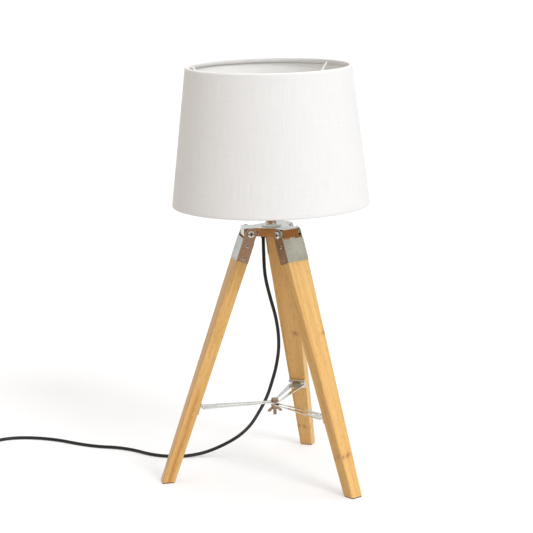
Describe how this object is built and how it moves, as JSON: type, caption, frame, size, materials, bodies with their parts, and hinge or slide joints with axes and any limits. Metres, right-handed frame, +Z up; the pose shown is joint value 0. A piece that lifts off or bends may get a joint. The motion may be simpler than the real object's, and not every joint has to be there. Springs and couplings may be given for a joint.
{
  "type": "table lamp",
  "caption": "Table lamp on a folding bamboo tripod, with a pressed metal hub, a slotted spreader, a conical fabric shade, a screw lampholder and a corded inline switch.",
  "frame": {"origin": "the lamp's upright axis (hub, stem and shade) where it meets the table, in the common plane of the three foot pads", "axes": "+Z up along the stem; the left leg points along -X, the other two stand 120 degrees to either side of it"},
  "size_m": [0.6345, 0.434, 0.5935],
  "materials": {
    "bamboo": "satin",
    "chrome": "polished",
    "zinc_steel": "satin",
    "shade_fabric": "matte",
    "shade_liner": "satin",
    "white_wire": "satin",
    "holder_white": "gloss",
    "ceramic_core": "matte",
    "brass": "polished",
    "black_plastic": "satin",
    "cord_black": "satin",
    "rubber_pad": "matte",
    "tie_black": "matte"
  },
  "bodies": {
    "stand": {"hub_plate": "chrome", "stem_collar": "chrome", "stem_tube": "chrome", "threaded_nipple": "zinc_steel", "hub_washer": "zinc_steel", "hub_nut": "zinc_steel", "cord_grip": "black_plastic", "holder_cap": "holder_white", "holder_shell": "holder_white", "socket_core": "ceramic_core", "thread_sleeve": "brass", "centre_contact": "brass", "pivot_sleeves": "chrome", "pivot_screws": "chrome", "pivot_spacers": "chrome", "cord_lead": "cord_black", "cord_link": "cord_black", "cord_coil": "cord_black", "cord_tail": "cord_black", "cord_tie": "tie_black", "plug_body": "black_plastic", "plug_pins": "brass", "switch_base": "black_plastic", "switch_cover": "black_plastic", "switch_screws": "zinc_steel"},
    "leg_left": {"leg_left": "bamboo", "leg_bracket_left": "zinc_steel", "leg_screws_left": "zinc_steel", "foot_pad_left": "rubber_pad", "hinge_leaf_left": "chrome", "hinge_pin_left": "zinc_steel"},
    "bar_left": {"spreader_bar_left": "chrome"},
    "leg_front": {"leg_front": "bamboo", "leg_bracket_front": "zinc_steel", "leg_screws_front": "zinc_steel", "foot_pad_front": "rubber_pad", "hinge_leaf_front": "chrome", "hinge_pin_front": "zinc_steel"},
    "bar_front": {"spreader_bar_front": "chrome"},
    "leg_back": {"leg_back": "bamboo", "leg_bracket_back": "zinc_steel", "leg_screws_back": "zinc_steel", "foot_pad_back": "rubber_pad", "hinge_leaf_back": "chrome", "hinge_pin_back": "zinc_steel"},
    "bar_back": {"spreader_bar_back": "chrome"},
    "centre_bolt": {"centre_bolt": "chrome", "bolt_washers": "chrome"},
    "wing_nut": {"wing_nut": "chrome"},
    "rocker": {"switch_rocker": "black_plastic"},
    "shade": {"shade_cover": "shade_fabric", "shade_liner": "shade_liner", "shade_bottom_ring": "white_wire", "shade_spider": "white_wire"},
    "clamp_ring": {"shade_clamp_ring": "holder_white"}
  },
  "joints": [
    {"name": "leg_left_fold", "type": "hinge", "parent": "stand", "child": "leg_left", "pos_m": [-0.0335, 0, 0.3583], "axis": [0, -1, 0], "range_deg": [0, 18.6]},
    {"name": "bar_left_hinge", "type": "hinge", "parent": "leg_left", "child": "bar_left", "pos_m": [-0.10858, 0, 0.11088], "axis": [0, -1, 0], "range_deg": [-18.6, 0]},
    {"name": "leg_front_fold", "type": "hinge", "parent": "stand", "child": "leg_front", "pos_m": [0.01675, -0.02901, 0.3583], "axis": [0.866, 0.5, 0], "range_deg": [0, 18.6]},
    {"name": "bar_front_hinge", "type": "hinge", "parent": "leg_front", "child": "bar_front", "pos_m": [0.05429, -0.09403, 0.11088], "axis": [0.866, 0.5, 0], "range_deg": [-18.6, 0]},
    {"name": "leg_back_fold", "type": "hinge", "parent": "stand", "child": "leg_back", "pos_m": [0.01675, 0.02901, 0.3583], "axis": [-0.866, 0.5, 0], "range_deg": [0, 18.6]},
    {"name": "bar_back_hinge", "type": "hinge", "parent": "leg_back", "child": "bar_back", "pos_m": [0.05429, 0.09403, 0.11088], "axis": [-0.866, 0.5, 0], "range_deg": [-18.6, 0]},
    {"name": "bolt_slide", "type": "slide", "parent": "bar_left", "child": "centre_bolt", "axis": [-1, 0, 0], "range_m": [0, 0.08304]},
    {"name": "wing_nut_turn", "type": "hinge", "parent": "centre_bolt", "child": "wing_nut", "pos_m": [0, 0, 0.09809], "axis": [0, 0, 1], "continuous": true},
    {"name": "rocker_tilt", "type": "hinge", "parent": "stand", "child": "rocker", "pos_m": [-0.404, 0.198, 0.0133], "axis": [1, 0, 0], "range_deg": [-14, 0]},
    {"name": "shade_lift", "type": "slide", "parent": "stand", "child": "shade", "axis": [0, 0, 1], "range_m": [0, 0.03]},
    {"name": "clamp_ring_turn", "type": "hinge", "parent": "shade", "child": "clamp_ring", "pos_m": [0, 0, 0.5], "axis": [0, 0, 1], "continuous": true}
  ],
  "couplings": [
    {"joint": "bar_left_hinge", "follows": "leg_left_fold", "ratio": -1},
    {"joint": "leg_front_fold", "follows": "leg_left_fold", "ratio": 1},
    {"joint": "bar_front_hinge", "follows": "leg_left_fold", "ratio": -1},
    {"joint": "leg_back_fold", "follows": "leg_left_fold", "ratio": 1},
    {"joint": "bar_back_hinge", "follows": "leg_left_fold", "ratio": -1},
    {"joint": "bolt_slide", "follows": "leg_left_fold", "m_per_rad": 0.25517}
  ]
}
